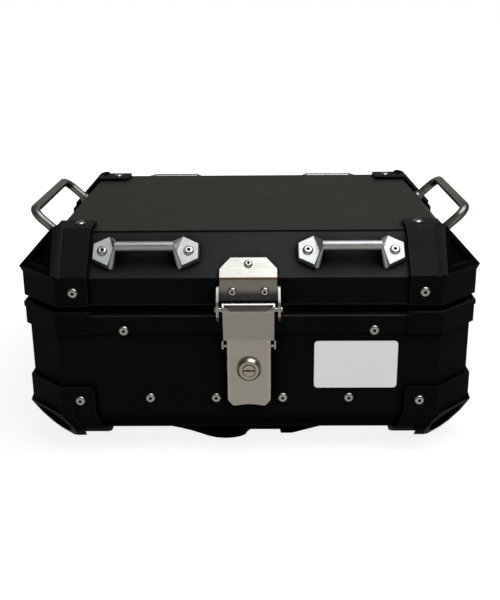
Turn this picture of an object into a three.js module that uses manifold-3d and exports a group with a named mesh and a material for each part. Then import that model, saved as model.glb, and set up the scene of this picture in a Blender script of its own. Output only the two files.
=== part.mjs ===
// Motorcycle top case: faceted aluminium box with a hinged lid, black corner guards,
// tie-down cleats, side handle bars and a hasp latch with a cam lock.
// Millimetres, +X right, -Y towards the latch, +Z up. Origin: middle of the mount plate's underside.
import * as THREE from "three";
import { ConvexGeometry } from "three/addons/geometries/ConvexGeometry.js";
import { mergeVertices } from "three/addons/utils/BufferGeometryUtils.js";
import Module from "manifold-3d";

const wasm = await Module();
wasm.setup();

// ---------- solids ----------
function solid(geometry) {
  const g = geometry.clone();
  g.deleteAttribute("normal");
  g.deleteAttribute("uv");
  const m = mergeVertices(g, 1e-4);
  const made = new wasm.Manifold(
    new wasm.Mesh({
      numProp: 3,
      vertProperties: new Float32Array(m.attributes.position.array),
      triVerts: new Uint32Array(m.index.array),
    }),
  );
  return made;
}
const union = (...s) => s.flat().reduce((a, b) => a.add(b));
const cut = (a, ...s) => s.flat().reduce((x, y) => x.subtract(y), a);
const both = (a, b) => a.intersect(b);
const V = (x, y, z) => new THREE.Vector3(x, y, z);
const hull = (pts) => solid(new ConvexGeometry(pts.map((p) => V(...p))));
const box = (x0, x1, y0, y1, z0, z1) => {
  const g = new THREE.BoxGeometry(x1 - x0, y1 - y0, z1 - z0);
  g.translate((x0 + x1) / 2, (y0 + y1) / 2, (z0 + z1) / 2);
  return solid(g);
};
// Round bar or frustum from a to b.
function bar(a, b, r0, r1 = r0, n = 12) {
  const A = V(...a), B = V(...b), d = B.clone().sub(A), len = d.length();
  const g = new THREE.CylinderGeometry(r1, r0, len, n);
  g.translate(0, len / 2, 0);
  g.applyQuaternion(new THREE.Quaternion().setFromUnitVectors(V(0, 1, 0), d.normalize()));
  g.translate(A.x, A.y, A.z);
  return solid(g);
}
// Flat plate: outline points in a plane, extruded.
function plate(pts, depth, matrix) {
  const s = new THREE.Shape(pts.map(([x, y]) => new THREE.Vector2(x, y)));
  const g = new THREE.ExtrudeGeometry(s, { depth, bevelEnabled: false, steps: 1 });
  if (matrix) g.applyMatrix4(matrix);
  return solid(g);
}

// ---------- half-space polyhedra ----------
const P = (nx, ny, nz, d) => {
  const l = Math.hypot(nx, ny, nz);
  return [nx / l, ny / l, nz / l, d / l];
};
const off = (ps, t) => ps.map(([a, b, c, d]) => [a, b, c, d + t]);
function poly(ps) {
  const pts = [];
  const n = ps.length;
  for (let i = 0; i < n; i++)
    for (let j = i + 1; j < n; j++)
      for (let k = j + 1; k < n; k++) {
        const [a, b, c] = [ps[i], ps[j], ps[k]];
        const det =
          a[0] * (b[1] * c[2] - b[2] * c[1]) -
          a[1] * (b[0] * c[2] - b[2] * c[0]) +
          a[2] * (b[0] * c[1] - b[1] * c[0]);
        if (Math.abs(det) < 1e-6) continue;
        const x = (a[3] * (b[1] * c[2] - b[2] * c[1]) - a[1] * (b[3] * c[2] - b[2] * c[3]) + a[2] * (b[3] * c[1] - b[1] * c[3])) / det;
        const y = (a[0] * (b[3] * c[2] - b[2] * c[3]) - a[3] * (b[0] * c[2] - b[2] * c[0]) + a[2] * (b[0] * c[3] - b[3] * c[0])) / det;
        const z = (a[0] * (b[1] * c[3] - b[3] * c[1]) - a[1] * (b[0] * c[3] - b[3] * c[0]) + a[3] * (b[0] * c[1] - b[1] * c[0])) / det;
        if (ps.every((p) => p[0] * x + p[1] * y + p[2] * z <= p[3] + 1e-5) && !pts.some((q) => Math.hypot(q[0] - x, q[1] - y, q[2] - z) < 1e-3))
          pts.push([x, y, z]);
      }
  return hull(pts);
}
const zMax = (z) => [0, 0, 1, z];
const zMin = (z) => [0, 0, -1, -z];
const quads = [[-1, -1], [1, -1], [-1, 1], [1, 1]];
const tag = (sx, sy) => (sy < 0 ? "front" : "rear") + "_" + (sx < 0 ? "left" : "right");

// ---------- main dimensions ----------
const TOP = 228, SKIRT = 163.4, SHEET = 2;
const lidSide = P(37.8, 0, 34.8, 37.8 * 192.5 + 34.8 * TOP); // side slope through the top plate's edge
const lidFront = P(0, 37.8, 38.9, 37.8 * 146.7 + 38.9 * TOP);
const lidCorner = P(1, 1, 0.96, 558.1);
const lidChamfer = P(1, 1, 0, 374.8);
const mir = (p, sx, sy) => [p[0] * sx, p[1] * sy, p[2], p[3]];
const lidFaces = [
  zMax(TOP),
  [1, 0, 0, 227.3], [-1, 0, 0, 227.3], [0, 1, 0, 185.7], [0, -1, 0, 185.7],
  mir(lidSide, 1, 1), mir(lidSide, -1, 1), mir(lidFront, 1, 1), mir(lidFront, 1, -1),
  ...quads.map(([sx, sy]) => mir(lidCorner, sx, sy)),
  ...quads.map(([sx, sy]) => mir(lidChamfer, sx, sy)),
];
const lidOct = lidFaces.filter((p) => p[2] === 0);
const baseChamfer = P(1, 1, 0, 374);
const oct = [
  [1, 0, 0, 227.5], [-1, 0, 0, 227.5], [0, 1, 0, 183], [0, -1, 0, 183],
  ...quads.map(([sx, sy]) => mir(baseChamfer, sx, sy)),
];
const CREASE = 46.3, PAN = 18.3, R = 28;
const panCorner = P(1, 1, -0.938, 374 - 0.938 * CREASE);
const arcs = [];
for (const s of [-1, 1])
  for (const a of [22.5, 45, 67.5].map((d) => (d * Math.PI) / 180)) {
    const c = Math.cos(a), q = Math.sin(a);
    arcs.push([s * c, 0, -q, c * 199.5 - q * CREASE + R]);
    arcs.push([0, s * c, -q, c * 155 - q * CREASE + R]);
  }
const panFaces = [...oct, ...arcs, zMin(PAN), ...quads.map(([sx, sy]) => mir(panCorner, sx, sy))];
const corner = (sx, sy, x = 158, y = 114) => [[-sx, 0, 0, -x], [0, -sy, 0, -y]];

// ---------- materials ----------
const mat = (color, roughness, metalness) => new THREE.MeshStandardMaterial({ color, roughness, metalness });
const M = {
  powder: mat(0x25282a, 0.55, 0.35),
  plastic: mat(0x131415, 0.5, 0),
  rubber: mat(0x0d0d0d, 0.85, 0),
  satin: mat(0xc4c6c6, 0.35, 0.9),
  bar: mat(0x8b8880, 0.38, 0.9),
  steel: mat(0x9a948b, 0.3, 1),
  screw: mat(0xb9b7b2, 0.3, 1),
  lock: mat(0xa8a6a2, 0.25, 1),
  label: mat(0xd9dbd8, 0.5, 0),
};
const root = new THREE.Group();
const lid = new THREE.Group(), hasp = new THREE.Group(), lock = new THREE.Group(), base = new THREE.Group();
hasp.add(lock);
lid.add(hasp);
root.add(base, lid);
function add(group, name, s, material) {
  const m = s.getMesh();
  let g = new THREE.BufferGeometry();
  g.setAttribute("position", new THREE.BufferAttribute(new Float32Array(m.vertProperties), 3));
  g.setIndex(new THREE.BufferAttribute(new Uint32Array(m.triVerts), 1));
  g = g.toNonIndexed();
  g.computeVertexNormals();
  const mesh = new THREE.Mesh(g, material);
  mesh.name = name;
  group.add(mesh);
}

// ---------- fasteners ----------
const at = (p, n, t) => [p[0] + n[0] * t, p[1] + n[1] * t, p[2] + n[2] * t];
// Button-head screw seated on p, with its axis along n, shank reaching `deep` below p.
const screw = (p, n, deep, r = 5.25) =>
  union(bar(at(p, n, 0.25), at(p, n, 1.4), r, r, 12), bar(at(p, n, 1.4), at(p, n, 3), r, r * 0.62, 12), bar(at(p, n, 0.5), at(p, n, -deep), 2.6, 2.6, 8));
const hole = (p, n, deep, r = 3.1) => bar(at(p, n, 12), at(p, n, -deep), r, r, 8);

// ---------- lid shell and what is fixed to its corners ----------
const lidHoles = [];
const lidTabScrew = (sx, sy) => [[sx * 172.1, sy * 129.4, TOP + 3.4], [0, 0, 1]];
const lidYScrew = (sx, sy) => [[sx * 172.4, sy * 189.1, 176], [0, sy, 0]];
const lidXScrew = (sx, sy) => [[sx * 230.7, sy * 129.4, 176], [sx, 0, 0]];
const grown = (faces, f) => faces.map((p) => [p[0], p[1], p[2], p[3] + f(p)]);
for (const [sx, sy] of quads) {
  const reg = [...corner(sx, sy), P(-sx, -sy, 0, -(158 + 114 + 2.5))];
  const ds = [lidTabScrew(sx, sy), lidYScrew(sx, sy), lidXScrew(sx, sy)];
  lidHoles.push(...ds);
  const T = mir(lidCorner, sx, sy), Ch = mir(lidChamfer, sx, sy), F = mir(lidFront, 1, sy), S = mir(lidSide, sx, 1);
  const plus = (p, t) => [p[0], p[1], p[2], p[3] + t];
  const beyond = (p, t) => [-p[0], -p[1], -p[2], -(p[3] + t)];
  const steep = (p) => Math.abs(p[2]) > 0.01 && Math.abs(p[2]) < 0.99;
  const body = poly([...grown(lidFaces, (p) => (steep(p) ? (p[0] && p[1] ? 3.4 : 4) : 3.4)), ...reg, zMin(162)]);
  // raised rim round the corner facet: it rises from the slopes' bands over 7 mm
  const ramp = (f, sgn, axis, from) => {
    const n = [...f.slice(0, 3)];
    n[axis] -= (sgn * 2) / 7;
    return P(...n, f[3] + 4 - (2 / 7) * from);
  };
  const rim = poly([
    plus(F, 6), plus(S, 6.6), plus(T, 6.8), beyond(T, 0.3), zMax(TOP + 8), zMin(186.8),
    P(sx, 0, 2.6, 800.1), P(0, sy, 2.6, 754.1), P(sx, sy, 2.4, 902.9),
    ramp(F, sx, 0, 183), ramp(S, sy, 1, 139),
    P(sx, 0, -0.5, 233.4 - 96.25), P(0, sy, -0.5, 190.7 - 96.25), P(sx, sy, -0.62, 383 - 119.35),
    [sx, 0, 0, 233.4], [0, sy, 0, 190.7], ...reg,
  ]);
  const facet = poly([beyond(T, 2.4), plus(T, 20), plus(F, 2.6), plus(S, 2.6), zMin(198)]);
  const guard = cut(union(body, rim), poly([...off(lidFaces, 0.3), zMin(150)]), facet, ds.map(([p, n]) => hole(p, n, 12)));
  add(lid, "lid_guard_" + tag(sx, sy), guard, M.plastic);
  const br = cut(poly([...off(lidFaces, -SHEET - 0.3), ...corner(sx, sy, 160, 116), zMin(168)]), poly([...off(lidFaces, -SHEET - 3.3), zMin(150)]));
  add(lid, "lid_corner_fixing_" + tag(sx, sy), union(br, ds.map(([p, n]) => screw(p, n, 8.5))), M.screw);
}

// ---------- tie-down cleats on the front and rear slopes ----------
const slopeN = (sy) => [0, sy * lidFront[1], lidFront[2]];
const slopePoint = (x, sy) => [x, sy * 166.15, 209.1];
const cleatHoles = [];
const local = (o, n, ex) => {
  const N = V(...n), X = V(...ex), Y = N.clone().cross(X);
  return new THREE.Matrix4().makeBasis(X, Y, N).setPosition(V(...o));
};
for (const [sx, sy] of quads) {
  const n = slopeN(sy), m = local(slopePoint(sx * 101.35, sy), n, [1, 0, 0]);
  const w = (u, v, h) => V(u, v, h).applyMatrix4(m).toArray();
  const parts = [];
  const ring = (u, h, r) => [...Array(12).keys()].map((i) => w(u, r * Math.cos((i * Math.PI) / 6), h + r * Math.sin((i * Math.PI) / 6)));
  for (const s of [-1, 1]) {
    const foot = [[53.15, -9], [53.15, 9], [36.65, 17.3], [30.65, 0], [36.65, -17.3]];
    const low = foot.map(([u, v]) => w(s * u, v, 0.3)), high = foot.map(([u, v]) => w(s * (u > 50 ? u - 1.2 : u), v * 0.95, 6.3));
    parts.push(hull([...low, ...high]));
    for (const t of [-1, 1])
      parts.push(hull([w(s * 36.65, t * 16.4, 6.25), w(s * 30.65, 0, 6.25), w(s * 36.65, t * 17.3, 0.6), w(s * 34.2, t * 18.3, 0.6), w(s * 31.6, t * 17, 0.8), w(s * 30, t * 12, 1.2), w(s * 30.65, 0, 1.5), ...ring(s * 28, 15, 5)]));
  }
  parts.push(bar(w(-29, 0, 15), w(29, 0, 15), 5, 5, 12));
  const ds = [-1, 1].map((s) => [w(s * 42.75, 0, 6.3), n]);
  cleatHoles.push(...ds);
  add(lid, "cleat_" + tag(sx, sy), cut(union(parts), ds.map(([p, q]) => hole(p, q, 9))), M.satin);
  const strip = hull([-5.3, -2.4].flatMap((h) => [w(-50, -8, h), w(50, -8, h), w(50, 8, h), w(-50, 8, h)]));
  add(lid, "cleat_fixing_" + tag(sx, sy), union(strip, ds.map(([p, q]) => screw(p, q, 10))), M.screw);
}

// ---------- side handle bars ----------
const handleHoles = [];
for (const sx of [-1, 1]) {
  const name = sx < 0 ? "left" : "right";
  const n = [sx * lidSide[0], 0, lidSide[2]], o = [sx * 206, 0, TOP - (37.8 * 13.5) / 34.8];
  const at2 = (w, y) => [o[0] + n[0] * w, y - 6, o[2] + n[2] * w];
  const pts = [[0.7, -84], [6, -84], [19, -84]];
  for (const a of [0, 15, 30, 45, 60, 75, 90]) {
    const q = (a * Math.PI) / 180;
    pts.push([19 + 14 * Math.sin(q), -70 - 14 * Math.cos(q)]);
  }
  pts.push([33, -40], [33, 0]);
  const full = [...pts, ...pts.slice(0, -1).reverse().map(([w, y]) => [w, -y])];
  const curve = new THREE.CurvePath();
  for (let i = 1; i < full.length; i++) curve.add(new THREE.LineCurve3(V(...at2(...full[i - 1])), V(...at2(...full[i]))));
  // Tube built link by link along the bent bar, each link a hull of two rings.
  const ringAt = (i) => {
    const c = V(...at2(...full[i]));
    const a = V(...at2(...full[Math.max(0, i - 1)])), b = V(...at2(...full[Math.min(full.length - 1, i + 1)]));
    const t = b.sub(a).normalize(), side = t.clone().cross(V(n[2], 0, -n[0])).normalize(), up = t.clone().cross(side).normalize();
    return [...Array(10).keys()].map((k) => {
      const q = (k * Math.PI) / 5;
      return c.clone().addScaledVector(side, 5 * Math.cos(q)).addScaledVector(up, 5 * Math.sin(q)).toArray();
    });
  };
  const rings = full.map((_, i) => ringAt(i));
  const posn = [], idx = [];
  rings.forEach((r) => r.forEach((p) => posn.push(...p)));
  for (let i = 0; i + 1 < rings.length; i++)
    for (let k = 0; k < 10; k++) {
      const a = i * 10 + k, b = i * 10 + ((k + 1) % 10), c = a + 10, d = b + 10;
      idx.push(a, b, d, a, d, c);
    }
  for (let k = 1; k < 9; k++) {
    idx.push(0, k + 1, k);
    const e = (rings.length - 1) * 10;
    idx.push(e, e + k, e + k + 1);
  }
  const g = new THREE.BufferGeometry();
  g.setAttribute("position", new THREE.Float32BufferAttribute(posn, 3));
  g.setIndex(idx);
  let tube = solid(g);
  if (tube.volume() < 0) {
    for (let i = 0; i < idx.length; i += 3) [idx[i + 1], idx[i + 2]] = [idx[i + 2], idx[i + 1]];
    g.setIndex(idx);
    tube = solid(g);
  }
  const feet = [-84, 84].flatMap((y) => [bar(at2(0.3, y), at2(1.9, y), 6.4, 6.4, 14), bar(at2(1.2, y), at2(3.8, y), 6.3, 5.2, 14), bar(at2(-7, y), at2(1.4, y), 3, 3, 8)]);
  add(lid, "side_handle_" + name, union(tube, feet), M.bar);
  const holes = [-84, 84].map((y) => [at2(0, y), n]);
  handleHoles.push(...holes);
  const strip = hull([-5.4, -2.4].flatMap((w) => [[-97, -9], [97, -9], [97, 9], [-97, 9]].map(([y, v]) => {
    const c = at2(w, y);
    return [c[0] + n[2] * v, c[1], c[2] - n[0] * v];
  })));
  add(lid, "handle_backing_" + name, cut(strip, holes.map(([p, q]) => hole(p, q, 12, 3.5))), M.screw);
}

// ---------- latch bracket on the lid ----------
const PIN = [-196, 160.5];
const inPlate = (t) => poly([...off(lidFaces, t), [1, 0, 0, 31.4], [-1, 0, 0, 31.4], [0, 1, 0, -140], zMin(166)]);
const bracketSlopeScrew = [at([0, -175.5, 200], slopeN(-1), 2.3), slopeN(-1)];
const bracketFaceScrews = [-15.9, 15.9].map((x) => [[x, -188, 176.7], [0, -1, 0]]);
{
  let sheet = cut(inPlate(2.3), poly([...off(lidFaces, 0.3), zMin(150)]));
  sheet = both(sheet, hull([ // outline seen from the front
    ...[-230, -150].flatMap((y) => [[-17.7, y, 206.7], [17.7, y, 206.7], [28, y, 198], [28, y, 186.5], [31.4, y, 186], [31.4, y, 167], [-31.4, y, 167], [-31.4, y, 186], [-28, y, 186.5], [-28, y, 198]]),
  ]));
  const trim = [-1, 1].map((s) => box(s < 0 ? -40 : 28.2, s < 0 ? -28.2 : 40, -230, -140, 182, 230));
  sheet = cut(sheet, trim);
  const ears = [-1, 1].map((s) => {
    const x0 = s < 0 ? -31.4 : 29, x1 = s < 0 ? -29 : 31.4;
    return hull([x0, x1].flatMap((x) => [[x, -186, 181.6], [x, -188.4, 181.6], [x, -199.4, 170.6], [x, -201.5, 166], [x, -201.5, 154.5], [x, -197.5, 149], [x, -190, 149], [x, -186, 156]]));
  });
  const b = cut(union(sheet, ears), bar([-40, ...PIN], [40, ...PIN], 2.75, 2.75, 16), hole(...bracketSlopeScrew, 8), bracketFaceScrews.map(([p, n]) => hole(p, n, 8)));
  add(lid, "latch_bracket", b, M.steel);
  const inner = both(cut(poly([...off(lidFaces, -SHEET - 0.3), [1, 0, 0, 24], [-1, 0, 0, 24], [0, 1, 0, -140], zMin(168), zMax(212)]), poly([...off(lidFaces, -SHEET - 3.3), zMin(150)])), box(-24, 24, -230, -140, 168, 212));
  add(lid, "latch_fixing", union(inner, [bracketSlopeScrew, ...bracketFaceScrews].map(([p, n]) => screw(p, n, 7, 4.4))), M.steel);
  add(lid, "latch_pin", union(bar([-32.8, ...PIN], [32.8, ...PIN], 2.45, 2.45, 16), bar([-33.3, ...PIN], [-31.7, ...PIN], 2.8, 3.2, 16), bar([31.7, ...PIN], [33.3, ...PIN], 3.2, 2.8, 16)), M.steel);
}

// ---------- lid shell, seal ----------
{
  let shell = cut(poly([...lidFaces, zMin(SKIRT)]), poly([...off(lidFaces, -SHEET), zMin(140)]));
  shell = cut(shell, lidHoles.map(([p, n]) => hole(p, n, 14)), cleatHoles.map(([p, n]) => hole(p, n, 12)), handleHoles.map(([p, n]) => hole(p, n, 8, 3.4)), hole(...bracketSlopeScrew, 9), bracketFaceScrews.map(([p, n]) => hole(p, n, 9)));
  add(lid, "lid_shell", shell, M.powder);
  add(lid, "lid_seal", cut(poly([...off(lidOct, -SHEET - 0.3), zMin(160.9), zMax(167.2)]), poly([...off(lidOct, -11), zMin(150), zMax(180)])), M.rubber);
}

// ---------- hasp and lock ----------
const LOCK = 97;
{
  const xz = new THREE.Matrix4().makeBasis(V(1, 0, 0), V(0, 0, 1), V(0, -1, 0)).setPosition(V(0, -190.5, 0));
  const half = [[25.4, 127.6], [25.4, 127.2], [21.7, 126.8], [21.7, 64], [21, 61.6], [17.2, 57.2], [15, 56.2], [9, 57.1]];
  const outline = [...half, [0, 57.8], ...half.slice().reverse().map(([x, z]) => [-x, z])];
  // upper half leans out to the roll round the pin; lip and recess along the top of the roll
  const polar = (x, a, r) => [x, PIN[0] - r * Math.cos((a * Math.PI) / 180), PIN[1] + r * Math.sin((a * Math.PI) / 180)];
  const leaning = hull([-25.4, 25.4].flatMap((x) => [[x, -201.3, 159.04], [x, -199.37, 159.57], [x, -192.5, 127.3], [x, -190.5, 127.3]]));
  const lip = hull([-26.4, 26.4].flatMap((x) => [polar(x, 66, 4.6), polar(x, 66, 6.9), polar(x, 86, 6.9), polar(x, 106, 6.9), polar(x, 112, 4.6)]));
  const recess = hull([-1, 1].flatMap((s) => [[24.3, 64], [23, 32], [20.6, 14], [16.5, 2]].flatMap(([x, a]) => [polar(s * x, a, 4.2), polar(s * x, a, 9)])));
  let p = union(plate(outline, 2, xz), leaning, bar([-25.4, ...PIN], [25.4, ...PIN], 5.5, 5.5, 24), lip);
  p = cut(p, recess, bar([-30, ...PIN], [30, ...PIN], 2.8, 2.8, 16), bar([0, -186, LOCK], [0, -200, LOCK], 6.4, 6.4, 20));
  add(hasp, "hasp_plate", p, M.steel);
  const body = union(bar([0, -192.8, LOCK], [0, -196.5, LOCK], 12.25, 12.25, 28), bar([0, -196.5, LOCK], [0, -198.5, LOCK], 12.25, 10.4, 28));
  add(hasp, "lock_housing", cut(body, bar([0, -190, LOCK], [0, -200, LOCK], 6.4, 6.4, 20)), M.lock);
  const plug = cut(bar([0, -188.1, LOCK], [0, -198.9, LOCK], 6, 6, 20), box(-3.6, 3.6, -200, -196.4, LOCK - 0.8, LOCK + 0.8));
  add(lock, "lock_plug", plug, M.lock);
  const cam = union(bar([0, -185.9, LOCK], [0, -187.8, LOCK], 7, 7, 16), box(-3.5, 3.5, -187.8, -185.9, LOCK - 17, LOCK));
  add(lock, "lock_cam", cam, M.steel);
}

// ---------- base ----------
const rowScrews = [], bandScrews = [];
for (const sy of [-1, 1]) {
  const nm = sy < 0 ? "front" : "rear";
  const row = [-101.5, -34, 34, 101.5].map((x) => [[x, sy * 183, 61], [0, sy, 0]]);
  const band = [-124.9, 124.9].map((x) => [[x, sy * 184.8, 135], [0, sy, 0]]);
  rowScrews.push(...row);
  bandScrews.push(...band);
  const y = (a, b) => (sy < 0 ? [-b, -a] : [a, b]);
  add(base, "row_fixing_" + nm, union(box(-112, 112, ...y(175.1, 178.1), 53, 69), row.map(([p, n]) => screw(p, n, 6.5))), M.screw);
  add(base, "band_fixing_" + nm, union(box(-134, 134, ...y(177.7, 180.7), 128, 142), band.map(([p, n]) => screw(p, n, 6))), M.screw);
}
const lowScrews = [];
const lowY = (sx, sy) => [[sx * 172.9, sy * 186.8, 59.5], [0, sy, 0]];
const lowX = (sx, sy) => [[sx * 231.3, sy * 129.4, 59.5], [sx, 0, 0]];
for (const [sx, sy] of quads) {
  const ds = [lowY(sx, sy), lowX(sx, sy)];
  lowScrews.push(...ds);
  // offsets: upright faces a, rounded lower edge and bottom b, corner chamfer c, corner facet d
  const grow = (a, b, c, d) => panFaces.map((p) => {
    const diag = Math.abs(p[0]) > 0.01 && Math.abs(p[1]) > 0.01;
    return [p[0], p[1], p[2], p[3] + (diag ? (p[2] ? d : c) : p[2] ? b : a)];
  });
  const reg = corner(sx, sy);
  const Q = mir(panCorner, sx, sy), Ch = mir(baseChamfer, sx, sy);
  const round = [P(-sx, 0, 1, 73.6 - 158 - 2.6), P(0, -sy, 1, 73.6 - 114 - 2.6)];
  const upright = poly([...grow(3.8, 5.2, 3.8, 3.8), ...reg, ...round, zMax(73.6), zMin(44)]);
  const under = poly([...grow(3.8, 5.2, 3.8, 3.8), zMax(46), P(-sx, 0, 0.34, -142.4), P(0, -sy, 0.34, -98.4)]);
  const plus = (p, t) => [p[0], p[1], p[2], p[3] + t];
  const beyond = (p, t) => [-p[0], -p[1], -p[2], -(p[3] + t)];
  const lobe = panFaces.map((p) => {
    if (p[2] === -1) return [0, 0, -1, -8];
    const diag = Math.abs(p[0]) > 0.01 && Math.abs(p[1]) > 0.01;
    if (diag) return plus(p, p[2] ? 6.4 : 6.6);
    return plus(p, p[2] === 0 ? 6 : Math.abs(p[2]) < 0.5 ? 5.6 : Math.abs(p[2]) < 0.8 ? 7 : 9.4);
  });
  const near = beyond(Ch, -4);
  const bumper = poly([...lobe, beyond(Q, 0.3), zMax(45), near.map((v, i) => (i === 3 ? v + 60 : v)), ...reg]);
  const brow = poly([...lobe, near, zMin(43), zMax(56), P(sx, sy, 0.9, 383.3 + 0.9 * 44.5), P(sx, 0, 0.35, 233.5 + 0.35 * 44.5), P(0, sy, 0.35, 189 + 0.35 * 44.5), ...reg]);
  const inset = (p) => p[2] !== 0 && p[2] !== -1 && !(Math.abs(p[0]) > 0.01 && Math.abs(p[1]) > 0.01);
  const facet = poly([beyond(Q, 2.6), plus(Q, 20), ...panFaces.filter(inset).map((p) => plus(p, Math.abs(p[2]) < 0.5 ? 1.5 : Math.abs(p[2]) < 0.8 ? 3 : 5.3)), zMax(39.5), zMin(12)]);
  add(base, "lower_guard_" + tag(sx, sy), cut(union(upright, under, bumper, brow), poly([...off(panFaces, 0.3), zMax(90)]), facet, ds.map(([p, n]) => hole(p, n, 10))), M.plastic);
  const br = cut(poly([...off(oct, -4.9), ...corner(sx, sy, 160, 116), zMin(52), zMax(68)]), poly([...off(oct, -7.9), zMin(40), zMax(80)]));
  add(base, "lower_fixing_" + tag(sx, sy), union(br, ds.map(([p, n]) => screw(p, n, 10.5))), M.screw);
  const up = cut(union(poly([...off(oct, 3.7), ...reg, zMin(131), zMax(155.5)]), poly([...off(oct, 4.8), ...reg, zMin(149.5), zMax(154.5)])), poly([...off(oct, 2.1), zMin(100), zMax(170)]));
  add(base, "upper_guard_" + tag(sx, sy), up, M.plastic);
}
{
  const wall = cut(poly([...oct, zMin(46.4), zMax(148)]), poly([...off(oct, -SHEET), zMin(20), zMax(200)]));
  add(base, "base_wall", cut(wall, rowScrews.map(([p, n]) => hole(p, n, 8)), bandScrews.map(([p, n]) => hole(p, n, 8)), lowScrews.map(([p, n]) => hole(p, n, 12))), M.powder);
  const outer = poly([...panFaces, zMax(46.1)]);
  const flange = poly([...off(oct, -SHEET - 0.3), zMin(45), zMax(70)]);
  const inner = poly([...off(panFaces, -2.6).map((p) => (p[2] === 0 ? [p[0], p[1], p[2], p[3] - 2] : p)), zMax(90)]);
  const mountBolts = [[-60, -92], [60, -92], [-60, 92], [60, 92]];
  const boltHoles = mountBolts.map(([x, y]) => bar([x, y, 10], [x, y, 30], 3.5, 3.5, 8));
  add(base, "base_pan", cut(union(outer, flange), inner, rowScrews.map(([p, n]) => hole(p, n, 8)), lowScrews.map(([p, n]) => hole(p, n, 14)), boltHoles), M.powder);
  const r1 = cut(poly([...off(oct, 1.8), zMin(131), zMax(148.3)]), poly([...off(oct, 0.3), zMin(100), zMax(200)]));
  const r2 = cut(poly([...off(oct, 1.8), ...oct.map((p) => P(p[0], p[1], 1, p[3] + 1.8 + 149.4)), zMin(148.3), zMax(151)]), poly([...off(oct, -8), zMin(100), zMax(200)]));
  const r3 = cut(poly([...off(oct, -3.5), zMin(151), zMax(160.3)]), poly([...off(oct, -8), zMin(100), zMax(200)]));
  add(base, "base_rim", cut(union(r1, r2, r3), bandScrews.map(([p, n]) => hole(p, n, 8))), M.plastic);

  // mount plate under the case, with bosses up to the pan and an inner stiffener frame
  const outline = [[-85, -127], [-74, -131.5], [-64, -137], [-54, -143.5], [-45, -149.5], [-36, -153.6], [-26, -155], [-17, -153.6], [-10, -150.5], [-5, -146], [-3, -139], [0, -134], [32, -134], [33, -143], [45, -143], [60, -135], [75, -127], [92, -112], [97, -96], [97, 104], [88, 122], [74, 130], [-74, 130], [-88, 122], [-97, 104], [-97, -112]];
  const slots = [[-70, 0], [70, 0]].map(([x, y]) => box(x - 7, x + 7, y - 42, y + 42, -5, 30));
  let mp = union(plate(outline, 9), [-1, 1].flatMap((s) => [box(s * 60 - 22, s * 60 + 22, -112, -72, 8, 18), box(s * 60 - 22, s * 60 + 22, 72, 112, 8, 18)]), box(-30, 30, -60, 60, 8, 13));
  mp = cut(mp, slots, mountBolts.map(([x, y]) => bar([x, y, 5], [x, y, 30], 3.5, 3.5, 8)));
  add(base, "mount_plate", mp, M.plastic);
  const frame = cut(box(-82, 82, -108, 108, 21.1, 24.1), box(-46, 46, -76, 76, 0, 50));
  add(base, "mount_fixing", union(frame, mountBolts.flatMap(([x, y]) => [bar([x, y, 6], [x, y, 24], 3, 3, 8), bar([x, y, 24], [x, y, 27.2], 5.6, 4.6, 12)])), M.screw);

  // keeper for the hasp: base plate, side ears and the hook the cam turns behind
  const keeper = union(
    box(-22, 22, -184.9, -183.3, 70, 118), box(-27, 27, -184.9, -183.3, 117, 119.6),
    box(-27, -25.2, -191, -183.3, 117, 126), box(25.2, 27, -191, -183.3, 117, 126),
    box(-22, -12, -189.9, -184.5, 101.2, 104.6), box(-22, -12, -189.9, -188.1, 89, 104.6), box(-22, -19.6, -189.9, -184.5, 89, 104.6),
  );
  add(base, "keeper_plate", keeper, M.steel);

  // plain label
  const r = 4, a = 42, b = 25.4, lab = [];
  for (const [cx, cy, q] of [[a - r, b - r, 0], [-a + r, b - r, 90], [-a + r, -b + r, 180], [a - r, -b + r, 270]])
    for (const t of [0, 30, 60, 90]) lab.push([cx + r * Math.cos(((q + t) * Math.PI) / 180), cy + r * Math.sin(((q + t) * Math.PI) / 180)]);
  add(base, "label_plate", plate(lab, 1.1, new THREE.Matrix4().makeBasis(V(1, 0, 0), V(0, 0, 1), V(0, -1, 0)).setPosition(V(107.5, -183.3, 97.6))), M.label);
}

// ---------- rear hinges ----------
const AX = [194, 159.3];
for (const s of [-1, 1]) {
  const c = s * 80, nm = s < 0 ? "left" : "right";
  const knuckle = (x0, x1) => bar([c + x0, ...AX], [c + x1, ...AX], 4.3, 4.3, 20);
  const bore = bar([c - 40, ...AX], [c + 40, ...AX], 2.3, 2.3, 16);
  const lidLeaf = cut(union(box(c - 30, c + 30, 186, 188, 166, 186), hull([c - 9.7, c + 9.7].flatMap((x) => [[x, 186, 167], [x, 188, 167], [x, 196, 163], [x, 196, 156], [x, 190, 156], [x, 186, 161]])), knuckle(-9.7, 9.7)), bore);
  add(lid, "hinge_leaf_lid_" + nm, lidLeaf, M.steel);
  const arms = [[-30, -10.3], [10.3, 30]].map(([a, b]) => hull([c + a, c + b].flatMap((x) => [[x, 185.1, 150], [x, 187.1, 147], [x, 196.5, 156.5], [x, 194, 159.3], [x, 190.5, 159.3], [x, 185.1, 154]])));
  const baseLeaf = cut(union(box(c - 30, c + 30, 185.1, 187.1, 120, 150.5), arms, knuckle(-30, -10.3), knuckle(10.3, 30)), bore);
  add(base, "hinge_leaf_base_" + nm, baseLeaf, M.steel);
  add(base, "hinge_pin_" + nm, union(bar([c - 31.5, ...AX], [c + 31.5, ...AX], 2, 2, 16), bar([c - 33.4, ...AX], [c - 30.4, ...AX], 3, 3.3, 16), bar([c + 30.4, ...AX], [c + 33.4, ...AX], 3.3, 3, 16)), M.steel);
}

export default root;
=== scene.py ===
import math

import bmesh
import bpy
from mathutils import Matrix, Vector


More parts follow.
